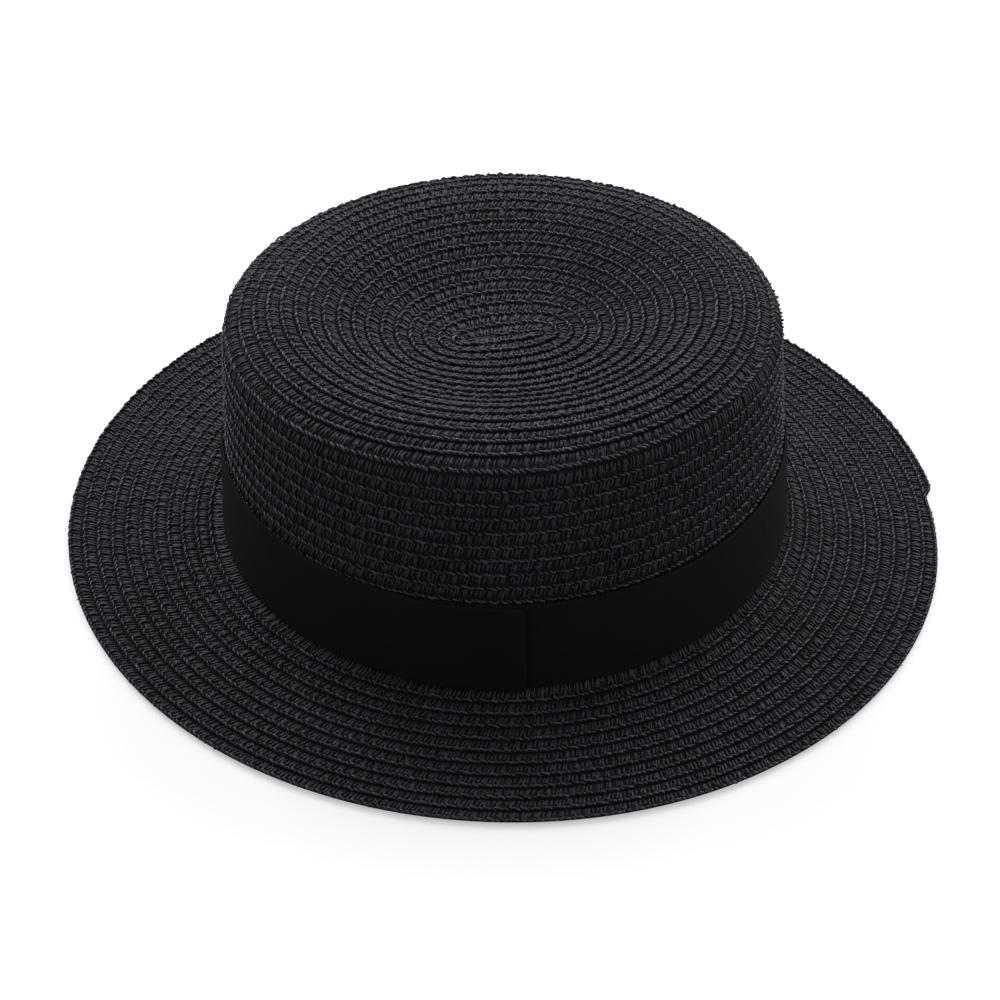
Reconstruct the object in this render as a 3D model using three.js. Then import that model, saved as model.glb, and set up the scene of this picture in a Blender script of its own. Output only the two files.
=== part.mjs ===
// Straw boater hat: an oval crown with a slightly sunken flat tip, a stiff oval brim and a
// plain ribbon round the foot of the crown. Millimetres, +Z up, +Y towards the back.
// The origin is on the plane that the brim rests on, below the middle of the brim.

import * as THREE from 'three';

// ---- Driving dimensions -----------------------------------------------------------------

const STRAW = 2.2;             // thickness of the sewn braid, laps included
const GAP = 0.3;               // clearance left between neighbouring pieces
const FACETS_ROUND = 80;       // flats round each oval

// Half-lengths of the outer face, along X (front view) and Y (side view)
const CROWN_FOOT = { halfLength: 99.2, halfWidth: 92.5 };
const CROWN_TOP = { halfLength: 94.1, halfWidth: 84.4 };
const BRIM_EDGE = { halfLength: 155.2, halfWidth: 145.8 };

// The crown stands a little off square: how far the middle of its top is from that of its foot
const LEAN = { x: -2.5, y: 0.7 };

// Heights over the rest plane: the mean, how much more at the +X side, how much more at the back
const SEAM_HEIGHT = { mean: 8.7, side: 2.2, back: 1.2 };
const TOP_HEIGHT = { mean: 94.4, side: 3.1, back: -0.8 };

// Tip: the braid starts as a short flattened loop a little in front of the middle. From there
// the plate rises to a crest, falls off towards the rim and bends over into the wall.
const CORE_HALF_LENGTH = 12;
const CORE_SHIFT = -5;         // how far the core lies from the middle of the tip, along Y
const SUNK_DEPTH = 11;         // how far the core lies below the crest
const CREST_PLACE = 0.8;       // where the crest is, from 0 at the core to 1 at the rim
const DISH_POWER = { mean: 1.42, back: -0.28 };  // above 1 the dish is steepest near the crest
const RIM_RADIUS = 6.5;
const RIM_SLOPE = 26;          // degrees the plate has turned down where the rim's bend starts
const RIM_SKIRT = 1.5;         // straight stretch below the rounded rim, still part of the tip

// Brim: it flares down from the crown, and its outermost rows lie flat
const FLAT_FROM = 0.8;         // from 0 at the crown to 1 at the edge

// Ribbon: one length wound once round, its end lapping over its start at the front
const RIBBON_WIDTH = 34.6;
const RIBBON_THICKNESS = 0.9;
const RIBBON_ABOVE_SEAM = 0.7;
const LAP_START_ANGLE = -104;  // degrees from +X, the hidden end
const LAP_END_ANGLE = -85;     // the folded end that shows
const LAP_RAMP = 8;            // degrees in which the upper layer climbs onto the lower one
const LAP_CLIMBED = 0.85;      // share of that ramp after which it lies flat again
const RIBBON_STEP = 4;         // degrees between sections of the ribbon

const STRAW_BLACK = { color: 0x1c1c1f, roughness: 0.55, metalness: 0 };
const RIBBON_BLACK = { color: 0x121214, roughness: 0.8, metalness: 0 };

// ---- Small helpers ----------------------------------------------------------------------

const { degToRad, lerp } = THREE.MathUtils;
const TURN = 2 * Math.PI;

function heightAt(heights, angle) {
  return heights.mean + heights.side * Math.cos(angle) + heights.back * Math.sin(angle);
}

function anglesRound() {
  return Array.from({ length: FACETS_ROUND }, (_, i) => (i / FACETS_ROUND) * TURN);
}

// A point of the crown wall: z over the rest plane, inset measured inwards from the outer face
function crownPoint(angle, z, inset) {
  const foot = heightAt(SEAM_HEIGHT, angle);
  const top = heightAt(TOP_HEIGHT, angle);
  const rise = (z - foot) / (top - foot);
  const halfLength = lerp(CROWN_FOOT.halfLength, CROWN_TOP.halfLength, rise) - inset;
  const halfWidth = lerp(CROWN_FOOT.halfWidth, CROWN_TOP.halfWidth, rise) - inset;
  return new THREE.Vector3(
    LEAN.x * rise + halfLength * Math.cos(angle),
    LEAN.y * rise + halfWidth * Math.sin(angle),
    z,
  );
}

// Joins loops of equally many points. Either the last loop meets the first again, or both
// end loops are closed with a fan. The faces are turned to point outwards.
function solidFromLoops(loops, endsMeet) {
  const count = loops[0].length;
  const points = loops.flat();
  const triangles = [];
  const joins = endsMeet ? loops.length : loops.length - 1;
  for (let i = 0; i < joins; i += 1) {
    const near = i * count;
    const far = ((i + 1) % loops.length) * count;
    for (let j = 0; j < count; j += 1) {
      const next = (j + 1) % count;
      triangles.push([near + j, near + next, far + j]);
      triangles.push([near + next, far + next, far + j]);
    }
  }
  if (!endsMeet) {
    const last = (loops.length - 1) * count;
    const firstMiddle = points.length;
    const lastMiddle = firstMiddle + 1;
    points.push(middleOf(loops[0]), middleOf(loops[loops.length - 1]));
    for (let j = 0; j < count; j += 1) {
      const next = (j + 1) % count;
      triangles.push([firstMiddle, next, j]);
      triangles.push([lastMiddle, last + j, last + next]);
    }
  }
  if (volumeInside(points, triangles) < 0) {
    triangles.forEach((triangle) => triangle.reverse());
  }
  const geometry = new THREE.BufferGeometry();
  geometry.setFromPoints(points);
  geometry.setIndex(triangles.flat());
  geometry.computeVertexNormals();
  return geometry;
}

// Shares from 0 to 1 in equal steps
function evenShares(steps) {
  return Array.from({ length: steps + 1 }, (_, i) => i / steps);
}

function middleOf(loop) {
  const sum = loop.reduce((total, point) => total.add(point), new THREE.Vector3());
  return sum.divideScalar(loop.length);
}

function volumeInside(points, triangles) {
  const cross = new THREE.Vector3();
  return triangles.reduce((total, [a, b, c]) => {
    cross.crossVectors(points[b], points[c]);
    return total + points[a].dot(cross) / 6;
  }, 0);
}

// ---- Crown tip: the top plate and its rounded rim --------------------------------------

const RIM_FROM = degToRad(RIM_SLOPE);
const PLATE_INSET = RIM_RADIUS * (1 - Math.sin(RIM_FROM));
const PLATE_HALF_LENGTH = CROWN_TOP.halfLength - PLATE_INSET;
const PLATE_HALF_WIDTH = CROWN_TOP.halfWidth - PLATE_INSET;
const PLATE_EDGE_DROP = RIM_RADIUS * (1 - Math.cos(RIM_FROM));
const CREST_RISE = Math.tan(RIM_FROM) * (1 - CREST_PLACE) * PLATE_HALF_WIDTH / 2;

// Height of the plate over its edge, for a place from 0 at the core to 1 at the edge
function tipRise(place, angle) {
  const power = DISH_POWER.mean + DISH_POWER.back * Math.sin(angle);
  const inward = Math.min(place / CREST_PLACE, 1) ** power;
  const beyond = Math.max(place - CREST_PLACE, 0) / (1 - CREST_PLACE);
  return CREST_RISE * (1 - beyond ** 2) - SUNK_DEPTH * Math.cos((Math.PI / 2) * inward) ** 2;
}

function tipLoop(place, depth) {
  const halfLength = lerp(CORE_HALF_LENGTH, PLATE_HALF_LENGTH, place);
  const halfWidth = PLATE_HALF_WIDTH * place;
  return anglesRound().map((angle) => {
    const tilt = heightAt(TOP_HEIGHT, angle) - TOP_HEIGHT.mean;
    return new THREE.Vector3(
      LEAN.x + halfLength * Math.cos(angle),
      LEAN.y + CORE_SHIFT * (1 - place) ** 2 + halfWidth * Math.sin(angle),
      TOP_HEIGHT.mean - PLATE_EDGE_DROP + tilt * place + tipRise(place, angle) - depth,
    );
  });
}

// A loop of the rim's bend; bend is 0 where it meets the plate and 1 where it meets the wall
function rimLoop(bend, radius) {
  const turned = lerp(RIM_FROM, Math.PI / 2, bend);
  return anglesRound().map((angle) => crownPoint(
    angle,
    heightAt(TOP_HEIGHT, angle) - RIM_RADIUS + radius * Math.cos(turned),
    RIM_RADIUS - radius * Math.sin(turned),
  ));
}

function skirtLoop(inset) {
  return anglesRound().map((angle) => crownPoint(
    angle,
    heightAt(TOP_HEIGHT, angle) - RIM_RADIUS - RIM_SKIRT,
    inset,
  ));
}

function makeCrownTip() {
  const places = [0.08, 0.22, 0.36, 0.5, 0.63, 0.75, 0.88];
  const bends = evenShares(3);
  const upper = [
    ...places.map((place) => tipLoop(place, 0)),
    ...bends.map((bend) => rimLoop(bend, RIM_RADIUS)),
    skirtLoop(0),
  ];
  const lower = [
    ...places.map((place) => tipLoop(place, STRAW)),
    ...bends.map((bend) => rimLoop(bend, RIM_RADIUS - STRAW)),
    skirtLoop(STRAW),
  ];
  return solidFromLoops([...upper, ...lower.reverse()], false);
}

// ---- Crown side: the wall -----------------------------------------------------------------

function makeCrownSide() {
  const loop = (level, inset) => anglesRound().map((angle) => {
    const bottom = heightAt(SEAM_HEIGHT, angle) + GAP;
    const top = heightAt(TOP_HEIGHT, angle) - RIM_RADIUS - RIM_SKIRT - GAP;
    return crownPoint(angle, lerp(bottom, top, level), inset);
  });
  const levels = evenShares(4);
  return solidFromLoops([
    ...levels.map((level) => loop(level, 0)),
    ...levels.toReversed().map((level) => loop(level, STRAW)),
  ], true);
}

// ---- Brim -----------------------------------------------------------------------------------

// place runs from 0 at the crown's outer face to 1 at the edge
function brimLoop(place, depth) {
  return anglesRound().map((angle) => {
    const flare = Math.max(0, 1 - place / FLAT_FROM) ** 2;
    const foot = heightAt(SEAM_HEIGHT, angle);
    return new THREE.Vector3(
      lerp(CROWN_FOOT.halfLength, BRIM_EDGE.halfLength, place) * Math.cos(angle),
      lerp(CROWN_FOOT.halfWidth, BRIM_EDGE.halfWidth, place) * Math.sin(angle),
      STRAW + (foot - STRAW) * flare - depth,
    );
  });
}

// The opening's edge, flush with the inner face of the wall
function openingLoop(depth) {
  return anglesRound().map((angle) => {
    const foot = heightAt(SEAM_HEIGHT, angle);
    const point = crownPoint(angle, foot, STRAW);
    point.z = foot - depth;
    return point;
  });
}

function makeBrim() {
  const places = [0, 0.13, 0.27, 0.42, 0.6, 0.8, 1];
  return solidFromLoops([
    openingLoop(0),
    ...places.map((place) => brimLoop(place, 0)),
    ...places.toReversed().map((place) => brimLoop(place, STRAW)),
    openingLoop(STRAW),
  ], true);
}

// ---- Ribbon ---------------------------------------------------------------------------------

function ribbonSection(degrees) {
  const angle = degToRad(degrees);
  const climbed = (degrees - (LAP_START_ANGLE + 360 - LAP_RAMP)) / LAP_RAMP;
  const climb = THREE.MathUtils.smoothstep(climbed, 0, LAP_CLIMBED);
  const inner = -GAP - climb * (RIBBON_THICKNESS + GAP);
  const outer = inner - RIBBON_THICKNESS;
  const bottom = heightAt(SEAM_HEIGHT, angle) + RIBBON_ABOVE_SEAM;
  const top = bottom + RIBBON_WIDTH;
  return [
    crownPoint(angle, bottom, inner),
    crownPoint(angle, bottom, outer),
    crownPoint(angle, top, outer),
    crownPoint(angle, top, inner),
  ];
}

function makeRibbon() {
  const sweep = LAP_END_ANGLE + 360 - LAP_START_ANGLE;
  const steps = Math.round(sweep / RIBBON_STEP);
  const sections = [];
  for (let i = 0; i <= steps; i += 1) {
    sections.push(ribbonSection(LAP_START_ANGLE + (sweep * i) / steps));
  }
  return solidFromLoops(sections, false);
}

// ---- The hat --------------------------------------------------------------------------------

function addPiece(group, name, geometry, look) {
  const mesh = new THREE.Mesh(geometry, new THREE.MeshStandardMaterial(look));
  mesh.name = name;
  group.add(mesh);
}

const hat = new THREE.Group();
addPiece(hat, 'crown_tip', makeCrownTip(), STRAW_BLACK);
addPiece(hat, 'crown_side', makeCrownSide(), STRAW_BLACK);
addPiece(hat, 'brim', makeBrim(), STRAW_BLACK);
addPiece(hat, 'ribbon_band', makeRibbon(), RIBBON_BLACK);

export default hat;
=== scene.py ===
"""Straw boater hat: the looks of a sewn-braid hat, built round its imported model.

A real boater is one long plaited straw tape. It starts as a short flattened loop in the middle
of the tip, winds outwards, bends over the rim, goes down the side, turns out at the foot and
ends at the edge of the brim. Every turn is sewn a little over the next one. The script does the
same: a smooth guide surface gives the hat's form, a count of turns says where on it the tape is,
and a tape section, a row of edge straws and a layer of slanting straws are carried along it.

The guide in words: point = guide(turns, angle), where turns grows from 0 at the core to the last
turn at the brim's edge, and angle goes round the hat from +X. A point of the tape is
guide(turns at its outer edge - its place across the tape, angle) + height * surface normal.
"""

# %% Frame

import math

import bpy
import numpy as np
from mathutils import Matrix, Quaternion, Vector


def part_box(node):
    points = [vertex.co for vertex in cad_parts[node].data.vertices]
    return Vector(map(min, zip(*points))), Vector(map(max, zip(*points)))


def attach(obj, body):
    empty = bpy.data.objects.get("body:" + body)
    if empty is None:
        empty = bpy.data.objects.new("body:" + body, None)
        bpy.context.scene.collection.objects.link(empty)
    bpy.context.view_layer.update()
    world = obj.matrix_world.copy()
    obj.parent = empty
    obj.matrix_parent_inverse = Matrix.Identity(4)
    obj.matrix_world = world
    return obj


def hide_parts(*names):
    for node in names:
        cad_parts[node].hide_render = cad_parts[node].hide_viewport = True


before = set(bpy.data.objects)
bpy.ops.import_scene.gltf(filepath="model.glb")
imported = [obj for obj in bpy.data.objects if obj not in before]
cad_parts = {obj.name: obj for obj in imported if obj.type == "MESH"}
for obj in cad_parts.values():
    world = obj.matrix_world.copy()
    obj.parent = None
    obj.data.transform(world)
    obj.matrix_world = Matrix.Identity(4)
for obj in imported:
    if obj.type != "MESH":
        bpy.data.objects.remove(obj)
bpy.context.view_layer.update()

MM = 0.001
TURN = 2 * math.pi

# %% [markdown]
# ## The form of the hat
# The crown is an oval drum that leans a little, with a tip that is sunk in the middle and rolls
# over a rounded rim. The brim is a shallow cone that lies flat at its edge. It could be taken
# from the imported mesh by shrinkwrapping, but a formula gives exact normals and lets the tape run
# on without a break from one part to the next. So the model's own few sizes are repeated here, in
# millimetres, and each part of the form is a function of two parameters.

# %% The upright wall

FOOT_HALF_LENGTH, FOOT_HALF_WIDTH = 99.2, 92.5
TOP_HALF_LENGTH, TOP_HALF_WIDTH = 94.1, 84.4
# where the middle of the top lies, seen from the middle of the foot
LEAN_X, LEAN_Y = -2.5, 0.7
# the seam at the foot and the top of the rim both lie a little aslant: mean, side and back
SEAM_MEAN, SEAM_SIDE, SEAM_BACK = 8.7, 2.2, 1.2
TOP_MEAN, TOP_SIDE, TOP_BACK = 94.4, 3.1, -0.8
RIM_RADIUS = 6.5
FOOT_BEND = 3.0


def height_at(mean, side, back, angle):
    """Height over the rest plane: mean + side * cos(angle) + back * sin(angle)."""
    return mean + side * np.cos(angle) + back * np.sin(angle)


def crown_point(angle, z, inset):
    """The crown's ovals: blended from foot to top by height, drawn in by the inset."""
    foot = height_at(SEAM_MEAN, SEAM_SIDE, SEAM_BACK, angle)
    top = height_at(TOP_MEAN, TOP_SIDE, TOP_BACK, angle)
    rise = (z - foot) / (top - foot)
    half_length = FOOT_HALF_LENGTH + (TOP_HALF_LENGTH - FOOT_HALF_LENGTH) * rise - inset
    half_width = FOOT_HALF_WIDTH + (TOP_HALF_WIDTH - FOOT_HALF_WIDTH) * rise - inset
    return np.stack([
        LEAN_X * rise + half_length * np.cos(angle),
        LEAN_Y * rise + half_width * np.sin(angle),
        z + 0 * angle,
    ], axis=-1)


def wall_point(down, angle):
    """The straight wall: from the rim at down = 0 to just over the foot at down = 1."""
    foot = height_at(SEAM_MEAN, SEAM_SIDE, SEAM_BACK, angle) + FOOT_BEND
    top = height_at(TOP_MEAN, TOP_SIDE, TOP_BACK, angle) - RIM_RADIUS
    return crown_point(angle, top + (foot - top) * down, 0.0)


WALL_HEIGHT = TOP_MEAN - RIM_RADIUS - SEAM_MEAN - FOOT_BEND
print("straight wall in mm:", round(WALL_HEIGHT, 1))

# %% The rounded rim

# the rim takes over from the tip where the tip slopes outwards by this much
RIM_FROM = math.radians(26)


def rim_point(bend, angle):
    """The rim: an arc that takes the tip's outward slope on to the upright wall."""
    top = height_at(TOP_MEAN, TOP_SIDE, TOP_BACK, angle)
    turned = RIM_FROM + bend * (np.pi / 2 - RIM_FROM)
    return crown_point(
        angle,
        top - RIM_RADIUS + RIM_RADIUS * np.cos(turned),
        RIM_RADIUS * (1 - np.sin(turned)),
    )


print("rim's arc in mm:", round(RIM_RADIUS * (math.pi / 2 - RIM_FROM), 1))

# %% The sunk tip

PLATE_INSET = RIM_RADIUS * (1 - math.sin(RIM_FROM))
PLATE_HALF_LENGTH = TOP_HALF_LENGTH - PLATE_INSET
PLATE_HALF_WIDTH = TOP_HALF_WIDTH - PLATE_INSET
PLATE_EDGE_DROP = RIM_RADIUS * (1 - math.cos(RIM_FROM))
# the loop in the middle: half its length, its shift to the back, its turn and its widening
CORE_HALF_LENGTH, CORE_SHIFT = 12.0, -5.0
CORE_SKEW = math.radians(12)
CORE_WIDENING = 0.5
# the tip's highest ring lies at this share of the way out
CREST_PLACE = 0.8
CREST_RISE = math.tan(RIM_FROM) * (1 - CREST_PLACE) * PLATE_HALF_WIDTH / 2
SUNK_DEPTH = 11.0
DISH_MEAN, DISH_BACK = 1.42, -0.28


def plate_point(place, angle):
    """The tip: ovals that grow from a short loop to the rim, dished by a squared cosine.

    Height = edge height + rise of the crest * (1 - beyond^2) - depth * cos(quarter turn *
    (place / crest place)^power)^2, and the power is greater in front than at the back.
    """
    share = (1 - place) ** 2
    core = CORE_HALF_LENGTH * (1 + CORE_WIDENING * share * np.sin(angle) ** 2)
    x = (core + (PLATE_HALF_LENGTH - CORE_HALF_LENGTH) * place) * np.cos(angle)
    y = PLATE_HALF_WIDTH * place * np.sin(angle)
    skew = CORE_SKEW * share
    power = DISH_MEAN + DISH_BACK * np.sin(angle)
    inward = np.clip(place / CREST_PLACE, 0, 1) ** power
    beyond = np.maximum(place - CREST_PLACE, 0) / (1 - CREST_PLACE)
    rise = CREST_RISE * (1 - beyond**2) - SUNK_DEPTH * np.cos(np.pi / 2 * inward) ** 2
    tilt = height_at(0, TOP_SIDE, TOP_BACK, angle) * place
    return np.stack([
        LEAN_X + x * np.cos(skew) - y * np.sin(skew),
        LEAN_Y + CORE_SHIFT * share + x * np.sin(skew) + y * np.cos(skew),
        TOP_MEAN - PLATE_EDGE_DROP + tilt + rise,
    ], axis=-1)


print("crest over the tip's edge and over its middle in mm:", round(CREST_RISE, 1), SUNK_DEPTH)

# %% The brim and the bend at its foot

# thickness of the straw, the lap of two tapes
STRAW = 2.2
# the brim is flat from this share of its width outwards
FLAT_FROM = 0.8
_, edge_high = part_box("brim")
BRIM_HALF_LENGTH = edge_high.x / MM
BRIM_HALF_WIDTH = edge_high.y / MM
BRIM_FROM = FOOT_BEND / (BRIM_HALF_LENGTH - FOOT_HALF_LENGTH)


def brim_point(place, angle):
    """The brim: from the wall at place = 0 to the edge at 1, flaring down by a square law."""
    foot = height_at(SEAM_MEAN, SEAM_SIDE, SEAM_BACK, angle)
    flare = np.maximum(0, 1 - place / FLAT_FROM) ** 2
    return np.stack([
        (FOOT_HALF_LENGTH + (BRIM_HALF_LENGTH - FOOT_HALF_LENGTH) * place) * np.cos(angle),
        (FOOT_HALF_WIDTH + (BRIM_HALF_WIDTH - FOOT_HALF_WIDTH) * place) * np.sin(angle),
        STRAW + (foot - STRAW) * flare,
    ], axis=-1)


def foot_point(bend, angle):
    """The inner bend at the foot: a quadratic curve drawn towards the corner of wall and brim."""
    start = wall_point(np.ones_like(bend), angle)
    corner = brim_point(np.zeros_like(bend), angle)
    end = brim_point(np.full_like(bend, BRIM_FROM), angle)
    b = bend[..., None]
    return (1 - b) ** 2 * start + 2 * b * (1 - b) * corner + b**2 * end


print("brim's half-length and half-width in mm:",
      round(BRIM_HALF_LENGTH, 1), round(BRIM_HALF_WIDTH, 1))

# %% The whole meridian, counted in turns of the tape

PLATE_TURNS = 16.35
RIM_TURNS = 1.0
WALL_TURNS = 14.26
FOOT_TURNS = 0.7
BRIM_TURNS = 10.4
RIM_START = PLATE_TURNS
WALL_START = RIM_START + RIM_TURNS
FOOT_START = WALL_START + WALL_TURNS
BRIM_START = FOOT_START + FOOT_TURNS
LAST_TURN = BRIM_START + BRIM_TURNS
# the first turn's inner edge may pass the middle of the core by this share of the plate
PAST_MIDDLE = -0.15
# steps for the normals, in turns and in radians, and the first turn that they are taken at
STEP_ACROSS, STEP_ROUND, FIRST_NORMAL = 0.15, 0.01, 0.5


def guide(turns, angle):
    """The whole meridian: each stretch of turns picks its own part of the form. Millimetres."""
    turns, angle = np.broadcast_arrays(np.asarray(turns, float), np.asarray(angle, float))
    parts = [
        (RIM_START, plate_point(np.clip(turns / PLATE_TURNS, PAST_MIDDLE, 1), angle)),
        (WALL_START, rim_point(np.clip((turns - RIM_START) / RIM_TURNS, 0, 1), angle)),
        (FOOT_START, wall_point(np.clip((turns - WALL_START) / WALL_TURNS, 0, 1), angle)),
        (BRIM_START, foot_point(np.clip((turns - FOOT_START) / FOOT_TURNS, 0, 1), angle)),
    ]
    spread = BRIM_FROM + (1 - BRIM_FROM) * (turns - BRIM_START) / BRIM_TURNS
    found = brim_point(np.maximum(spread, 0), angle)
    for stop, points in reversed(parts):
        found = np.where((turns < stop)[..., None], points, found)
    return found


def guide_normal(turns, angle):
    """Outward normal: the cross product of the step across the rows and the step round them."""
    turns = np.clip(turns, FIRST_NORMAL, LAST_TURN)
    across = guide(turns + STEP_ACROSS, angle) - guide(turns - STEP_ACROSS, angle)
    along = guide(turns, angle + STEP_ROUND) - guide(turns, angle - STEP_ROUND)
    normal = np.cross(across, along)
    return normal / np.linalg.norm(normal, axis=-1, keepdims=True)


print("turns from the core to the brim's edge:", round(LAST_TURN, 2))

# %% [markdown]
# ## The run of the tape
# One tape winds through the whole hat, so the place of its outer edge is a function of how far
# it has been wound. A plain spiral would leave a step as wide as the tape at the brim's edge.
# The hat has only a small notch there: the sewer lets the last turns close into rings and tucks
# the end under. So the spiral is blended into rings that step out by one row in the same short
# stretch, and only a little of the step is kept where the tape ends.

# %% The place of the tape's outer edge

START_ANGLE = math.radians(180)
END_ANGLE = math.radians(6)
END_SHARE = (START_ANGLE - END_ANGLE) / TURN
WHOLE_TURNS = round(LAST_TURN + 0.5 - END_SHARE)
TOTAL_WOUND = WHOLE_TURNS + END_SHARE
RING_OFFSET = LAST_TURN + 1 - WHOLE_TURNS
# share of a turn in which a ring steps out by one row
JOG_SHARE = 0.16
# the notch: its step in rows, and the turns in which it fades, swells and is cut off
END_STEP = 0.31
FADE_TURNS, SWELL_TURNS, CUT_TURNS = 0.035, 0.17, 0.006
# the waver of hand-guided sewing: size in rows, radians for each turn, start
SEWING_WAVES = ((0.018, 14.6, 0.0), (0.014, 37.2, 1.3))
# a row never counts as wider than this
WIDEST_ROW = 1.6


def eased(share):
    """A smooth step from 0 to 1: share^2 * (3 - 2 * share)."""
    return share * share * (3 - 2 * share)


def wavy(place, waves):
    """A slow waver: the sum of size * sin(rate * place + start) over the waves."""
    return sum(size * np.sin(rate * place + start) for size, rate, start in waves)


def edge_turns(wound):
    """Turns at the tape's outer edge, for the turns wound so far.

    Spiral: turns = wound. Rings: turns = whole turns + a smooth step late in each turn.
    The blend goes from all spiral at the foot to all rings at the edge. Where the tape ends
    there is a small notch: the last turn starts a little further in and ends a little further
    out, and its end is trimmed to a slant.
    """
    whole = np.floor(wound - END_SHARE)
    late = wound - END_SHARE - whole - (1 - JOG_SHARE)
    rings = whole + eased(np.clip(late / JOG_SHARE, 0, 1)) + RING_OFFSET
    share = np.clip((wound - BRIM_START) / (LAST_TURN - 1 - BRIM_START), 0, 1)
    waver = wavy(wound, SEWING_WAVES) * np.clip(wound - 0.5, 0, 1) * (1 - share)
    left = wound - TOTAL_WOUND
    dip = -END_STEP * np.exp(-np.abs(left + 1) / FADE_TURNS)
    swell = END_STEP * np.clip(left / SWELL_TURNS + 1, 0, 1) ** 2
    cut = 2 * END_STEP * eased(np.clip(left / CUT_TURNS + 1, 0, 1))
    turns = np.minimum(wound + share * (rings - wound) + waver, LAST_TURN)
    return turns + dip + swell - cut


def seen_width(wound):
    """Share of a row left uncovered by the turn inside it, 1 on a plain spiral."""
    return np.clip(edge_turns(wound) - edge_turns(wound - 1), 0.0, WIDEST_ROW)


print("turns wound, with the rings:", round(TOTAL_WOUND, 2))

# %% How long the tape is

FINE = np.linspace(0, TOTAL_WOUND, int(TOTAL_WOUND * 360))
middle = guide(edge_turns(FINE) - 0.5, START_ANGLE - TURN * FINE)
steps = np.linalg.norm(np.diff(middle, axis=0), axis=1)
LENGTH = np.concatenate([[0], np.cumsum(steps)])
# least mm of tape for each radian, so that a shift stays small at the core's tight ends
SLOWEST = 3.0
SPEED = np.maximum(np.gradient(LENGTH, TURN * FINE), SLOWEST)


def winding_speed(wound):
    """Millimetres of tape for each radian of turn."""
    return np.interp(wound, FINE, SPEED)


def wound_every(start, stop, spacing, bend_share=0.0):
    """Places along the tape between two counts of turns, evenly spaced in mm.

    bend_share adds that many mm for each radian, so a tight bend gets more steps.
    """
    measure = LENGTH + bend_share * TURN * FINE
    first, last = np.interp([start, stop], FINE, measure)
    count = max(2, int(round((last - first) / spacing)) + 1)
    return np.interp(np.linspace(first, last, count), measure, FINE)


def winding_angle(wound, shift=0.0):
    """Angle round the hat: start - full turns, less the shift in mm along the tape."""
    return START_ANGLE - TURN * wound - shift / winding_speed(wound)


def tape_point(wound, across, height):
    """A point of the tape: across in rows from the outer edge, height in mm."""
    turns = edge_turns(wound) - across
    angle = winding_angle(wound)
    return guide(turns, angle) + guide_normal(turns, angle) * np.asarray(height)[..., None]


print("tape length in m:", round(LENGTH[-1] * MM, 2))

# %% [markdown]
# ## Putting arrays into meshes
# Thousands of straws would be slow one face at a time, so every piece is one big array of points
# and one of faces. The sign of the enclosed volume says whether the faces point outwards.

# %% Mesh helpers


def enclosed(points, triangles):
    """Six times the volume: the sum over triangles of a . (b x c)."""
    a, b, c = (points[triangles[:, i]] for i in range(3))
    return np.einsum("ij,ij->", a, np.cross(b, c))


def make_piece(name, points, quads, triangles, **values):
    """A smooth-shaded mesh from arrays in mm, riding on the hat's one body, with its values."""
    split = np.concatenate([quads[:, [0, 1, 2]], quads[:, [0, 2, 3]], triangles])
    if enclosed(points, split) < 0:
        quads, triangles = quads[:, ::-1], triangles[:, ::-1]
    mesh = bpy.data.meshes.new(name)
    mesh.vertices.add(len(points))
    mesh.vertices.foreach_set("co", (points * MM).astype(np.float32).ravel())
    corners = np.concatenate([quads.ravel(), triangles.ravel()]).astype(np.int32)
    sizes = np.concatenate([np.full(len(quads), 4), np.full(len(triangles), 3)])
    mesh.loops.add(len(corners))
    mesh.loops.foreach_set("vertex_index", corners)
    mesh.polygons.add(len(sizes))
    mesh.polygons.foreach_set("loop_start", np.cumsum(sizes) - sizes)
    mesh.polygons.foreach_set("use_smooth", np.ones(len(sizes), bool))
    mesh.update(calc_edges=True)
    mesh.validate()
    for title, numbers in values.items():
        layer = mesh.attributes.new(title, "FLOAT", "POINT")
        layer.data.foreach_set("value", numbers.astype(np.float32))
    piece = bpy.data.objects.new(name, mesh)
    bpy.context.scene.collection.objects.link(piece)
    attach(piece, "root")
    print(name, "triangles:", 2 * len(quads) + len(triangles))
    return piece


def skin(index):
    """Quads between rings of points, joined round: index has shape (rings, points)."""
    turned = np.roll(index, -1, axis=1)
    return np.stack([index[:-1], index[1:], turned[1:], turned[:-1]], axis=-1).reshape(-1, 4)


def fans(index, first, last):
    """Triangles from the first ring to one point and from the last ring to another."""
    turned = np.roll(index, -1, axis=1)
    count = index.shape[1]
    opening = np.stack([index[0], turned[0], np.full(count, first)], axis=-1)
    closing = np.stack([turned[-1], index[-1], np.full(count, last)], axis=-1)
    return np.concatenate([opening, closing])


def loft(loops):
    """Faces of a skin through loops of equally many points, capped with fans at both ends.

    loops has shape (rings, points, 3). Returns points, quads and triangles.
    """
    rings, count = loops.shape[:2]
    index = np.arange(rings * count).reshape(rings, count)
    middles = loops[[0, -1]].mean(axis=1)
    points = np.concatenate([loops.reshape(-1, 3), middles])
    return points, skin(index), fans(index, rings * count, rings * count + 1)


# %% [markdown]
# ## The tape
# The plait's own body: a flat tape about 7 mm wide and 1 mm thick. Its outer edge is raised,
# then a groove runs beside it, and the rest slopes down under the turn inside it. One smooth
# sheet with a bump map would be simpler, but a closed section swept along the winding keeps the
# real lap on both faces of the hat, and the dark step beside every row.

# %% Sweep of the tape section

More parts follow.
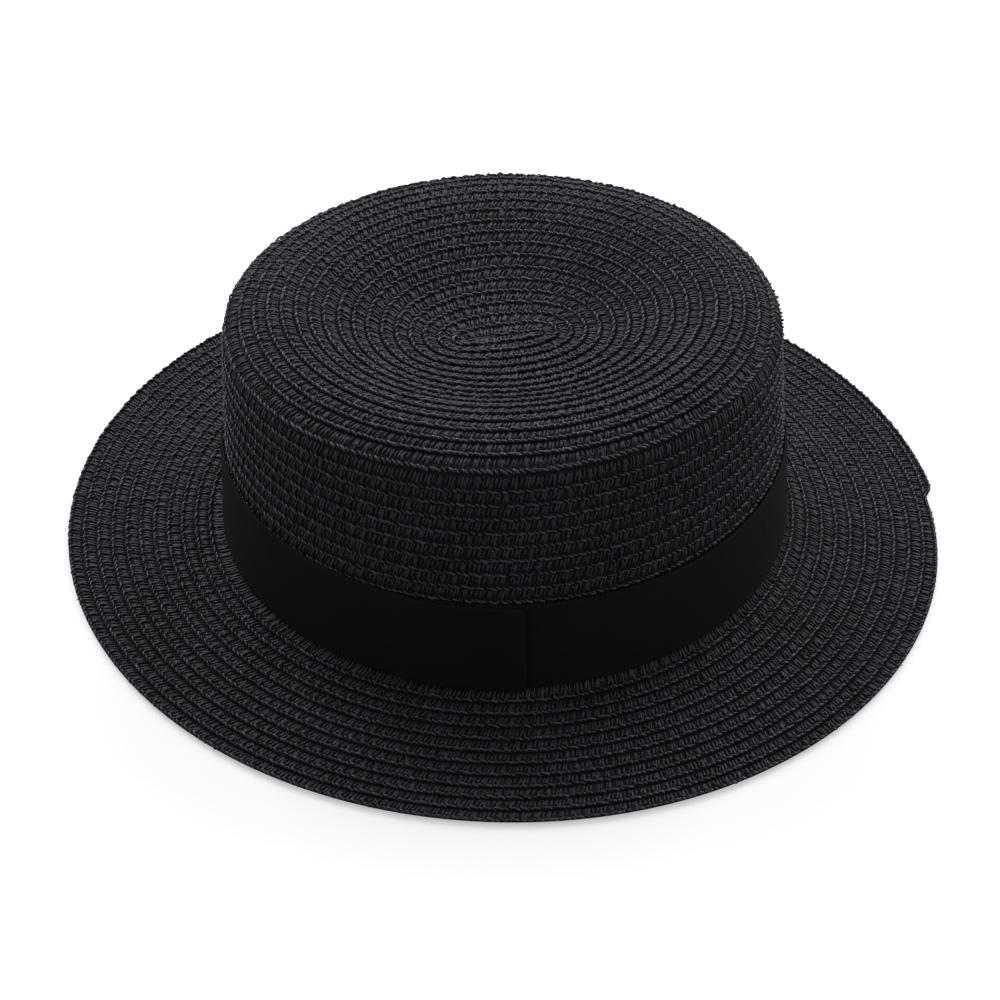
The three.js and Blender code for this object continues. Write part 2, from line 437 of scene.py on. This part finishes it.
# place across in rows from the outer edge, height in mm over the guide surface
TAPE_FACE = np.array([
    (0.00, -0.85),
    (0.01, -0.62),
    (0.06, -0.50),
    (0.16, -0.50),
    (0.25, -0.78),
    (0.34, -0.78),
    (0.60, -0.82),
    (0.85, -0.98),
    (1.00, -1.16),
    (1.20, -1.42),
    (1.42, -1.66),
])
TAPE_BACK = np.array([
    (1.42, -1.98),
    (1.20, -2.05),
    (0.85, -1.78),
    (0.50, -1.46),
    (0.15, -1.10),
    (0.03, -0.98),
])
TAPE_SECTION = np.concatenate([TAPE_FACE, TAPE_BACK])
# mm between sections, and the mm that each radian of bend counts for
TAPE_STEP, TAPE_BEND = 5.0, 14.0
# how far the tape dips where its row is narrow, and the limits of that rule in rows
TUCK_DEPTH, NARROWEST_ROW, TUCK_REACH = 0.9, 0.05, 1.5
# the middle of a cap, in rows
CAP_ACROSS = 0.7
# the tape stays this far above the table
LOWEST = 0.05


def tuck(wound, across):
    """How far the tape dips under the turn inside it where less than a row of it shows."""
    seen = np.clip(seen_width(wound), NARROWEST_ROW, 1)
    return TUCK_DEPTH * (np.minimum(across / seen, TUCK_REACH) - np.minimum(across, TUCK_REACH))


def sweep_tape(name, start, stop):
    """The tape section carried from one count of turns to another, held up by the table."""
    wound = wound_every(start, stop, TAPE_STEP, bend_share=TAPE_BEND)[:, None]
    across = TAPE_SECTION[:, 0][None, :]
    height = TAPE_SECTION[:, 1][None, :] - tuck(wound, across)
    points, quads, triangles = loft(tape_point(wound, across, height))
    points[:, 2] = np.maximum(points[:, 2], LOWEST)
    run = np.interp(wound, FINE, LENGTH)
    along = np.append((run + 0 * across).ravel(), run[[0, -1]])
    width = np.append((0 * run + across).ravel(), [CAP_ACROSS, CAP_ACROSS])
    return make_piece(name, points, quads, triangles, along=along, across=width)


# %% The three lengths of tape

# the side's tape gives way to the brim's in the bend at the foot
TAPE_JOINT = BRIM_START - 0.35
tapes = [
    sweep_tape(name, start, stop)
    for name, start, stop in (
        ("crown_tip_tape", 0.0, WALL_START),
        ("crown_side_tape", WALL_START, TAPE_JOINT),
        ("brim_tape", TAPE_JOINT, TOTAL_WOUND),
    )
]

# %% [markdown]
# ## The straws
# What catches the light is the plait: short lengths of split straw that slant across the tape,
# one over the next, and a tight twisted edge. Bump could fake them, but they cast real shadows
# into the pin holes between them, so each is a small spindle, and all of one kind are one mesh.

# %% One straw

# girth of a straw at its stations, as a share of the full girth
SPINDLE_STATIONS = np.array([0.0, 0.15, 0.5, 0.85, 1.0])
SPINDLE_GIRTH = np.array([0.0, 0.85, 1.0, 0.85, 0.0])
# one ring of a straw: sideways in half-widths, upwards in thicknesses
STRAW_RING = np.array([(-1.0, 0.0), (-0.5, 0.88), (0.5, 0.88), (1.0, 0.0)])


def spindles(line, normal, half_width, thickness):
    """Closed pointed straws along centre lines of shape (straws, stations, 3).

    Ring points = line + (side * half_width * sideways + normal * thickness * up) * girth.
    """
    along = np.gradient(line, axis=1)
    side = np.cross(normal, along)
    side /= np.linalg.norm(side, axis=-1, keepdims=True)
    inner = slice(1, -1)
    width = (half_width[:, None] * SPINDLE_GIRTH[None, inner])[..., None, None]
    rise = (thickness[:, None] * SPINDLE_GIRTH[None, inner])[..., None, None]
    rings = (
        line[:, inner, None]
        + side[:, inner, None] * width * STRAW_RING[:, :1]
        + normal[:, inner, None] * rise * STRAW_RING[:, 1:]
    )
    count, ring_count, corners = rings.shape[:3]
    points = np.concatenate([
        line[:, :1], rings.reshape(count, -1, 3), line[:, -1:],
    ], axis=1)
    per_straw = points.shape[1]
    ring = 1 + np.arange(ring_count * corners).reshape(ring_count, corners)
    base = (per_straw * np.arange(count))[:, None, None]
    quads = (skin(ring)[None] + base).reshape(-1, 4)
    triangles = (fans(ring, 0, per_straw - 1)[None] + base).reshape(-1, 3)
    return points.reshape(-1, 3), quads, triangles, per_straw


print("faces of a straw:", len(STRAW_RING) * (len(SPINDLE_STATIONS) - 1))

# %% Many straws on the tape

chance = np.random.default_rng(7)
# spread of where a straw starts and stops, in rows, and of its lean and its arch, as shares
START_SPREAD, STOP_SPREAD, LEAN_SPREAD, ARCH_SPREAD = 0.02, 0.03, 0.2, 0.35
# spread of a straw's place along the tape in mm, and of its girth as a share
PLACE_SPREAD, GIRTH_SPREAD = 0.22, 0.15
# a straw ends at most this far under the turn inside it, and a row counts as at least so wide
UNDER_NEXT, LEAST_ROW = 0.05, 0.3
# straws are let into the tape's face by this much, in mm
SINK = 0.08


def face_height(across):
    """Height of the tape's upper face, read off its section."""
    return np.interp(across, TAPE_FACE[:, 0], TAPE_FACE[:, 1])


def lay_straws(wound, start, stop, lead, half_width, thickness, lift, bow=0.0):
    """Spindles across the tape from start to stop, in rows, leaning by lead mm along it.

    For q from 0 to 1 along the straw, height = tape face + lift * 4 q (1 - q) - sink, and
    place along the tape = lead * (q - 1/2) + bow * 4 q (1 - q).
    """
    count = len(wound)
    start, stop, lead, lift, bow = (
        np.broadcast_to(value, (count,))[:, None] for value in (start, stop, lead, lift, bow))
    wound = wound[:, None]
    q = SPINDLE_STATIONS[None, :]
    jitter = chance.normal(0, 1, (5, count, 1))
    first = start + START_SPREAD * jitter[0]
    last = stop + STOP_SPREAD * jitter[1]
    last = np.minimum(last, np.maximum(seen_width(wound), LEAST_ROW) + UNDER_NEXT)
    across = first + (last - first) * q
    leans = lead * (1 + LEAN_SPREAD * jitter[2])
    shift = leans * (q - 0.5) + bow * 4 * q * (1 - q) + PLACE_SPREAD * jitter[3]
    arch = lift * (1 + ARCH_SPREAD * jitter[4])
    height = face_height(across) + arch * 4 * q * (1 - q) - SINK - tuck(wound, across)
    turns = edge_turns(wound) - across
    angle = winding_angle(wound, shift)
    normal = guide_normal(turns, angle)
    line = guide(turns, angle) + normal * height[..., None]
    girth = 1 + GIRTH_SPREAD * np.clip(chance.normal(0, 1, (2, count)), -2, 2)
    points, quads, triangles, per_straw = spindles(
        line, normal, half_width * girth[0], thickness * girth[1])
    tone = np.repeat(chance.random(count), per_straw)
    return points, quads, triangles, tone


def join(*layers):
    """One set of arrays from several, their indices moved on past the points before them."""
    starts = np.cumsum([0] + [len(layer[0]) for layer in layers[:-1]])
    points, quads, triangles, tones = zip(*(
        (layer[0], layer[1] + base, layer[2] + base, layer[3])
        for layer, base in zip(layers, starts)
    ))
    return tuple(np.concatenate(part) for part in (points, quads, triangles, tones))


# %% [markdown]
# ## The plait and its edge
# A boater's plait repeats every few millimetres. Three straws lean one way, each over the last,
# and a short one crosses back over them, which makes the pin holes and the broken lights. Its
# outer edge is turned tighter, like a cord, and shines more. It is also painted paler than the
# strands, as a painted highlight for the light that the raised edge catches. Every straw could be
# woven over and under its neighbours, but its lower half would never show, so only the visible
# lengths are laid.

# %% Slanting straws

PLAIT_REPEAT = 4.0
STRAW_THICKNESS = 0.38
# the straws of a repeat: where each starts in rows, its half-width, lift and bow in mm
PLAIT_STRAWS = np.array([
    (0.17, 0.52, 0.27, 0.28),
    (0.30, 0.50, 0.20, -0.28),
    (0.34, 0.42, 0.10, 0.00),
])
PLAIT_STOP, PLAIT_LEAD = 0.96, -1.0
# the crossing straw: where it starts and how long it is in rows, then lead, half-width and lift
CROSSING_FROM, CROSSING_TO, CROSSING_LENGTH = 0.26, 0.64, 0.32
CROSSING_LEAD, CROSSING_HALF_WIDTH, CROSSING_LIFT = 1.4, 0.36, 0.40
# a straw is left out where less than this of its row shows
LEANING_SHOWS, CROSSING_SHOWS = 0.35, 0.6


def plait(name, start, stop):
    """The plait's visible straws: three to a repeat lean one way, one short one crosses back.

    Of the three, the first reaches under the edge, and the third lies lower and narrower, so
    pin holes and shaded gaps come once in a repeat.
    """
    places = wound_every(start, stop, PLAIT_REPEAT / 3)
    order = np.arange(len(places)) % 3
    shown = seen_width(places) > LEANING_SHOWS
    begins, widths, lifts, bows = PLAIT_STRAWS[order[shown]].T
    crossing = wound_every(start, stop, PLAIT_REPEAT)
    crossing = crossing[seen_width(crossing) > CROSSING_SHOWS]
    outer_end = chance.uniform(CROSSING_FROM, CROSSING_TO, len(crossing))
    points, quads, triangles, tone = join(
        lay_straws(places[shown], begins, PLAIT_STOP, PLAIT_LEAD, widths, STRAW_THICKNESS,
                   lifts, bows),
        lay_straws(crossing, outer_end, outer_end + CROSSING_LENGTH, CROSSING_LEAD,
                   CROSSING_HALF_WIDTH, STRAW_THICKNESS, CROSSING_LIFT),
    )
    return make_piece(name, points, quads, triangles, tone=tone)


# %% Twisted edge

# the edge's two straws, a big and a small one: lead, half-width, thickness and lift in mm
CORD_STRAWS = np.array([
    (-2.9, 0.46, 0.70, 0.30),
    (-2.3, 0.36, 0.56, 0.18),
])
CORD_FROM, CORD_TO = 0.22, 0.02
CORD_SHOWS = 0.12


def edge_cord(name, start, stop):
    """The tight outer edge: straws nearly along the tape, a big and a small one by turns."""
    places = wound_every(start, stop, PLAIT_REPEAT / 2)
    second = np.arange(len(places)) % 2
    shown = seen_width(places) > CORD_SHOWS
    leads, widths, thicknesses, lifts = CORD_STRAWS[second[shown]].T
    points, quads, triangles, tone = lay_straws(
        places[shown], CORD_FROM, CORD_TO, leads, widths, thicknesses, lifts)
    return make_piece(name, points, quads, triangles, tone=tone)


# %% Where the ribbon hides the wall

RIBBON_WIDTH, RIBBON_ABOVE_SEAM = 34.6, 0.7
hidden_share = (RIBBON_WIDTH + RIBBON_ABOVE_SEAM - FOOT_BEND) / WALL_HEIGHT
RIBBON_TOP = WALL_START + WALL_TURNS * (1 - hidden_share)
print("turns of wall above the ribbon:", round(RIBBON_TOP - WALL_START, 2))

# %% Straws on every stretch of the hat

# the straws go a little under the ribbon at both its edges, and on over the foot
SIDE_STOP, SIDE_EDGE_STOP = RIBBON_TOP + 1.3, RIBBON_TOP + 1.0
FOOT_FROM, FOOT_TO = BRIM_START - 0.6, BRIM_START + 0.7
# the core has no room for an edge in its first quarter turn
CORE_EDGE_FROM = 0.25
straws, edges = [], []
for stretch, straws_from, straws_to, edge_from, edge_to in (
    ("crown_tip", 0.0, WALL_START, CORE_EDGE_FROM, WALL_START),
    ("crown_side", WALL_START, SIDE_STOP, WALL_START, SIDE_EDGE_STOP),
    ("foot", FOOT_FROM, FOOT_TO, FOOT_FROM, FOOT_TO),
    ("brim", FOOT_TO, TOTAL_WOUND, FOOT_TO, TOTAL_WOUND),
):
    straws.append(plait(stretch + "_straws", straws_from, straws_to))
    edges.append(edge_cord(stretch + "_edge", edge_from, edge_to))

# %% [markdown]
# ## The ribbon
# A black grosgrain band goes once round the foot of the crown. Its folded end laps over its
# start at the front, a little to the right. Grosgrain has fine ribs straight across its width,
# which is why it looks matt. They could be bump, but the lap and the folded end need real
# thickness anyway, so every second section of the band is drawn in a little to make them.

# %% The ribbon's run

RIBBON_THICKNESS = 0.9
RIBBON_OFF_WALL = 0.3
RIB_SPACING = 1.2
LAP_START, LAP_END = math.radians(-104), math.radians(-85)
# height at which the run is measured, and the points that it is measured with
RUN_HEIGHT, RUN_POINTS = 25.0, 4000

band_angles = np.linspace(LAP_START, LAP_END + TURN, RUN_POINTS)
band_line = crown_point(band_angles, RUN_HEIGHT + 0 * band_angles, -RIBBON_OFF_WALL)
band_steps = np.linalg.norm(np.diff(band_line, axis=0), axis=1)
band_run = np.concatenate([[0], np.cumsum(band_steps)])
ribbon_length = band_run[-1]
half_ribs = int(round(ribbon_length / RIB_SPACING * 2))
print("ribbon length in mm:", round(ribbon_length, 1), "ribs:", half_ribs // 2)

# %% The ribbon's thickness and lap

LAP_RAMP = math.radians(8)
# the climb is over at this share of the ramp
RAMP_DONE = 0.85
RIB_DEPTH = 0.10
# the folded end: its length and how much thicker it is, then how its very end is rounded
HEM, HEM_EXTRA = 6.0, 0.35
END_ROUND, END_ROUND_REACH = 0.8, 0.85


def inner_offset(angle):
    """From wall to ribbon: the gap, plus one thickness and one gap over the lap."""
    ramp = (angle - (LAP_START + TURN - LAP_RAMP)) / LAP_RAMP
    climb = eased(np.clip(ramp, 0, RAMP_DONE) / RAMP_DONE)
    return RIBBON_OFF_WALL + climb * (RIBBON_THICKNESS + RIBBON_OFF_WALL)


def ribbon_thickness(run):
    """One layer, more where the end is folded, rounded off by a quarter circle at the end."""
    left = run - ribbon_length
    fold = np.clip(left + HEM, 0, 1)
    end_round = np.sqrt(1 - np.clip((left + END_ROUND) / END_ROUND_REACH, 0, 1) ** 2)
    return (RIBBON_THICKNESS + HEM_EXTRA * fold) * end_round


print("thickest place over the wall in mm:",
      round(2 * (RIBBON_THICKNESS + RIBBON_OFF_WALL) + HEM_EXTRA, 2))

# %% The ribbon itself

# rise over the ribbon's lower edge in mm, and share of the thickness there
SELVEDGE = np.array([(0.0, 0.45), (0.3, 0.92), (0.9, 1.0), (2.5, 1.0)])
# ribs stop where the selvedge is thinner than this share
RIBBED = 0.9
# the band's waver up and down the wall: size in mm, radians for each mm, start
BAND_WAVES = ((0.060, 1 / 23.0, 0.0), (0.042, 1 / 9.1, 1.0))
# the folded end is drawn in by this much, over this length
END_NARROWING, NARROWING_LENGTH = 0.9, 30.0


def ribbon_loops():
    """Sections along the band: rises up the wall, offset from it by gap, lap and thickness."""
    run = np.linspace(0, ribbon_length, half_ribs + 1)[:, None]
    angle = np.interp(run, band_run, band_angles)
    rib = RIB_DEPTH * (np.arange(len(run)) % 2)[:, None]
    foot = height_at(SEAM_MEAN, SEAM_SIDE, SEAM_BACK, angle) + RIBBON_ABOVE_SEAM
    foot = foot + wavy(run, BAND_WAVES)
    narrowed = np.clip((run - ribbon_length) / NARROWING_LENGTH + 1, 0, 1) ** 2
    kept = 1 - END_NARROWING * narrowed / RIBBON_WIDTH
    rises = np.concatenate([SELVEDGE[:, 0], RIBBON_WIDTH - SELVEDGE[::-1, 0]])[None, :] * kept
    shares = np.concatenate([SELVEDGE[:, 1], SELVEDGE[::-1, 1]])[None, :]
    inner = inner_offset(angle)
    outer = inner + shares * ribbon_thickness(run) - rib * (shares > RIBBED)
    back_rises = np.array([RIBBON_WIDTH, 0.0])[None, :] * kept
    outside = crown_point(angle + 0 * rises, foot + rises, -outer)
    inside = crown_point(angle + 0 * back_rises, foot + back_rises, -inner)
    return np.concatenate([outside, inside], axis=1)


ribbon = make_piece("ribbon_band_grosgrain", *loft(ribbon_loops()))

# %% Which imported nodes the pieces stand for

for piece, node in zip((*tapes, ribbon), ("crown_tip", "crown_side", "brim", "ribbon_band")):
    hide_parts(node)
    print(piece.name, "stands for", node)

# %% [markdown]
# ## The finish of the straw
# All the straw is one thing: a dyed plait. Its strands are split straws with a natural gloss,
# dyed black with a trace of violet, so they show small cool lights on a nearly black ground.
# The tape below is the same straw in shade. Its colour is kept darker and its gloss lower, as
# painted shade for the gaps between the straws. An image texture would fix the lights in place, so
# the colour comes from noise in real sizes and from each straw's own tone.

# %% Colour and node helpers


def linear(code):
    """Linear RGBA of an sRGB hex colour: the low end is a line, the rest a power of 2.4."""
    parts = [int(code[i:i + 2], 16) / 255 for i in (1, 3, 5)]
    return (*(c / 12.92 if c < 0.04045 else ((c + 0.055) / 1.055) ** 2.4 for c in parts), 1)


def noise_scale(size):
    """Scale of a noise on metres whose patches are this many mm across."""
    return 1 / (size * MM)


def add(tree, kind, links=(), **settings):
    """Adds one node: settings are its properties or inputs, links are (input, output) pairs."""
    node = tree.nodes.new(kind)
    for name, value in settings.items():
        if name in node.inputs.keys():
            node.inputs[name].default_value = value
        else:
            setattr(node, name, value)
    for target, source in links:
        tree.links.new(source, node.inputs[target])
    return node


def new_material(name):
    """A material with an empty tree, and the tree."""
    material = bpy.data.materials.new(name)
    material.use_nodes = True
    material.node_tree.nodes.clear()
    return material, material.node_tree


print("black dye, linear:", [round(c, 4) for c in linear("#121216")[:3]])

# %% Plait drawn as bump

# the slant turns over at this place across, in rows, and runs this many straws in a row
FOLD_PLACE, SLANT = 0.52, 1.6


def plait_height(tree):
    """Height of a plait drawn as bump: the sine of along / a third of a repeat + slant * across.

    The slant turns over in the middle of the tape, as the straws of the under layer do.
    """
    along = add(tree, "ShaderNodeAttribute", attribute_name="along").outputs["Fac"]
    across = add(tree, "ShaderNodeAttribute", attribute_name="across").outputs["Fac"]
    fold = add(tree, "ShaderNodeMath", [(0, across)], operation="PINGPONG")
    fold.inputs[1].default_value = FOLD_PLACE
    slant = add(tree, "ShaderNodeMath", [(0, fold.outputs[0])], operation="MULTIPLY")
    slant.inputs[1].default_value = TURN * SLANT
    place = add(tree, "ShaderNodeMath", [(0, along), (2, slant.outputs[0])],
                operation="MULTIPLY_ADD")
    place.inputs[1].default_value = TURN / (PLAIT_REPEAT / 3)
    return add(tree, "ShaderNodeMath", [(0, place.outputs[0])], operation="SINE").outputs[0]


print("straws drawn as bump, in mm:", round(PLAIT_REPEAT / 3, 2))

# %% Dyed straw

# patches of weaker dye
DYE_PATCH = 25.0
# fibre grain is 0.25 mm, and is drawn twice as coarse so that it shows
FIBRE_GRAIN = 0.5
# how deep the grain and the plait are as bump, in metres
GRAIN_DEPTH, PLAIT_DEPTH = 0.0001, 0.00025
# sums of tone, patches and grain that give the dark and the light end of the dye
SUM_DARK, SUM_LIGHT = 0.7, 2.2
# the grain's range, and how much smoother or rougher than the finish it makes the straw
GRAIN_LOW, GRAIN_HIGH = 0.3, 0.7
SMOOTHER, ROUGHER = 0.08, 0.10


def dyed_straw(name, dark, light, roughness, ior, plaited=False):
    """Split straw, dyed and stiffened with size: fibre streaks, uneven dye, a soft gloss.

    Colour = a ramp from dark to light over the sum of the straw's tone, patches and grain.
    """
    material, tree = new_material(name)
    place = add(tree, "ShaderNodeTexCoord").outputs["Object"]
    tone = add(tree, "ShaderNodeAttribute", attribute_name="tone").outputs["Fac"]
    patches = add(tree, "ShaderNodeTexNoise", [("Vector", place)],
                  Scale=noise_scale(DYE_PATCH), Detail=2.0)
    grain = add(tree, "ShaderNodeTexNoise", [("Vector", place)],
                Scale=noise_scale(FIBRE_GRAIN), Detail=3.0)
    mixed = add(tree, "ShaderNodeMath", [(0, tone), (1, patches.outputs["Fac"])],
                operation="ADD")
    mixed = add(tree, "ShaderNodeMath", [(0, mixed.outputs[0]), (1, grain.outputs["Fac"])],
                operation="ADD")
    share = add(tree, "ShaderNodeMapRange", [("Value", mixed.outputs[0])],
                **{"From Min": SUM_DARK, "From Max": SUM_LIGHT})
    ramp = add(tree, "ShaderNodeValToRGB", [("Fac", share.outputs[0])])
    ramp.color_ramp.elements[0].color = linear(dark)
    ramp.color_ramp.elements[1].color = linear(light)
    rough = add(tree, "ShaderNodeMapRange", [("Value", grain.outputs["Fac"])],
                **{"From Min": GRAIN_LOW, "From Max": GRAIN_HIGH,
                   "To Min": roughness - SMOOTHER, "To Max": roughness + ROUGHER})
    bump = add(tree, "ShaderNodeBump", [("Height", grain.outputs["Fac"])],
               Strength=0.35, Distance=GRAIN_DEPTH)
    if plaited:
        bump = add(tree, "ShaderNodeBump",
                   [("Height", plait_height(tree)), ("Normal", bump.outputs[0])],
                   Strength=1.0, Distance=PLAIT_DEPTH)
    shader = add(tree, "ShaderNodeBsdfPrincipled", [
        ("Base Color", ramp.outputs[0]),
        ("Roughness", rough.outputs[0]),
        ("Normal", bump.outputs[0]),
    ], **{"IOR": ior, "Specular Tint": linear("#f5eeff")})
    add(tree, "ShaderNodeOutputMaterial", [("Surface", shader.outputs[0])])
    return material


# dark and light end of the colour, roughness and IOR: straw is near 1.5. The tape's colour
# is kept darker than the strands' and its IOR lower, as painted shade for the gaps between the
# straws, and the twisted edge is smoother and painted paler, as a painted highlight on its raised
# cord
STRAND = dyed_straw("dyed_split_straw", "#121216", "#312f39", 0.54, 1.5)
# painted shade: a darker, less glossy copy of the straw, for the shade in the gaps between straws
GROUND = dyed_straw("straw_tape_dye_and_painted_shade", "#17171b", "#2a2a31", 0.65, 1.3, plaited=True)
# painted highlight: paler than the strands, for the light caught by the raised twisted edge
EDGE = dyed_straw("twisted_straw_dye_and_painted_highlight", "#212126", "#4b4853", 0.38, 1.5)
print("straw finishes:", STRAND.name, GROUND.name, EDGE.name)

# %% [markdown]
# ## The finish of the ribbon
# Grosgrain is woven with thick threads across and thin ones along, here of rayon dyed black in
# the piece. Its gloss is broken up by the ribs, so it is the darkest and mattest thing on the
# hat. The ribs are in the mesh, and only the thin threads are left to bump.

# %% Grosgrain

# a wave texture turns 20 radians for each metre and unit of scale, so this scale makes threads
# 0.8 mm apart, twice as coarse as real ones so that they can show; they follow the height
THREAD_SCALE = 2500.0 / TURN
# patches of uneven dye in mm, and the threads' depth as bump in metres
CLOTH_PATCH, THREAD_DEPTH = 1000 / 60, 0.00008


def grosgrain(name):
    """Rayon grosgrain, piece-dyed black: matt, ribbed, with threads across the ribs."""
    material, tree = new_material(name)
    place = add(tree, "ShaderNodeTexCoord").outputs["Object"]
    threads = add(tree, "ShaderNodeTexWave", [("Vector", place)],
                  bands_direction="Z", Scale=THREAD_SCALE, Distortion=1.0, Detail=1.0)
    dye = add(tree, "ShaderNodeTexNoise", [("Vector", place)],
              Scale=noise_scale(CLOTH_PATCH), Detail=3.0)
    ramp = add(tree, "ShaderNodeValToRGB", [("Fac", dye.outputs["Fac"])])
    ramp.color_ramp.elements[0].color = linear("#131316")
    ramp.color_ramp.elements[1].color = linear("#1a1a20")
    bump = add(tree, "ShaderNodeBump", [("Height", threads.outputs["Fac"])],
               Strength=0.4, Distance=THREAD_DEPTH)
    shader = add(tree, "ShaderNodeBsdfPrincipled", [
        ("Base Color", ramp.outputs[0]),
        ("Normal", bump.outputs[0]),
    ], **{"Roughness": 0.9, "IOR": 1.25})
    add(tree, "ShaderNodeOutputMaterial", [("Surface", shader.outputs[0])])
    return material


GROSGRAIN = grosgrain("rayon_grosgrain")
print("ribbon finish:", GROSGRAIN.name)

# %% Finishes onto the pieces

for pieces, finish, slot in (
    (tapes, GROUND, "straw"),
    (straws, STRAND, "straw"),
    (edges, EDGE, "straw"),
    ([ribbon], GROSGRAIN, "ribbon"),
):
    for piece in pieces:
        piece.data.materials.append(finish)
        print(piece.name, "is", finish.name)

# %% [markdown]
# ## Floor, light and camera
# The hat lies on a white sweep. Black straw shows only what it reflects, so the main light is
# two large soft panels behind the hat, to the left and right, with weak ones at the sides and a
# dim even light all round: the tip and the brim shine softly, and the front of the crown stays
# dark. One panel overhead would be simpler, but the flat tip and brim reflect what is behind.

# %% Floor

FLOOR_HALF = 6
floor_corners = [
    (x * FLOOR_HALF, y * FLOOR_HALF, 0) for x, y in ((-1, -1), (1, -1), (1, 1), (-1, 1))]
floor_mesh = bpy.data.meshes.new("floor")
floor_mesh.from_pydata(floor_corners, [], [(0, 1, 2, 3)])
floor = bpy.data.objects.new("floor", floor_mesh)
# the floor throws no light back at the hat, so the crown's wall and the brim's underside stay dark
floor.visible_diffuse = False
floor.visible_glossy = False
bpy.context.scene.collection.objects.link(floor)
white_paper, paper_tree = new_material("white_paper")
paper = add(paper_tree, "ShaderNodeBsdfPrincipled",
            **{"Base Color": linear("#f4f4f4"), "Roughness": 1.0, "Specular IOR Level": 0.0,
               "Emission Color": linear("#ffffff"), "Emission Strength": 0.4})
add(paper_tree, "ShaderNodeOutputMaterial", [("Surface", paper.outputs[0])])
floor_mesh.materials.append(white_paper)
print("floor in m:", 2 * FLOOR_HALF)

# %% Lights

LIGHT_TARGET = Vector((0, 0, 0.05))
SKY_STRENGTH = 0.27


def panel(name, place, size, watts):
    """A soft rectangular light at a place, turned towards the middle of the hat, in metres."""
    light = bpy.data.lights.new(name, "AREA")
    light.shape = "RECTANGLE"
    light.size, light.size_y = size
    light.energy = watts
    lamp = bpy.data.objects.new(name, light)
    lamp.location = place
    direction = LIGHT_TARGET - Vector(place)
    lamp.rotation_euler = direction.to_track_quat("-Z", "Y").to_euler()
    bpy.context.scene.collection.objects.link(lamp)
    print(name, "in W:", watts)


panel("light_behind_left", (-0.95, 1.35, 1.15), (1.4, 1.2), 23)
panel("light_behind_right", (0.95, 1.35, 1.15), (1.4, 1.2), 24)
panel("light_left", (-1.6, -0.3, 0.7), (1.2, 0.7), 4)
panel("light_right", (1.6, -0.3, 0.7), (1.2, 0.7), 5)
world = bpy.data.worlds.new("studio")
bpy.context.scene.world = world
world.use_nodes = True
background = world.node_tree.nodes["Background"]
background.inputs["Color"].default_value = linear("#ffffff")
background.inputs["Strength"].default_value = SKY_STRENGTH
bpy.context.scene.view_settings.view_transform = "Standard"

# %% Camera

CAMERA_DISTANCE = 0.923
CAMERA_ELEVATION = math.radians(40)
CAMERA_ROLL = math.radians(-1.275)
CAMERA_AIM = Vector((0, 0, 0.046))
# the line of sight is a little steeper than the aim, which puts the hat in the frame's middle
SIGHT = Vector((-0.0018, 0.74623, -0.6657)).normalized()
lens = bpy.data.cameras.new("camera")
lens.lens = 95.6
lens.clip_end = 50
camera = bpy.data.objects.new("camera", lens)
camera.location = CAMERA_AIM + CAMERA_DISTANCE * Vector((
    0, -math.cos(CAMERA_ELEVATION), math.sin(CAMERA_ELEVATION)))
level = SIGHT.to_track_quat("-Z", "Y")
camera.rotation_euler = (level @ Quaternion((0, 0, 1), -CAMERA_ROLL)).to_euler()
bpy.context.scene.collection.objects.link(camera)
bpy.context.scene.camera = camera
print("camera at, in m:", [round(v, 3) for v in camera.location])
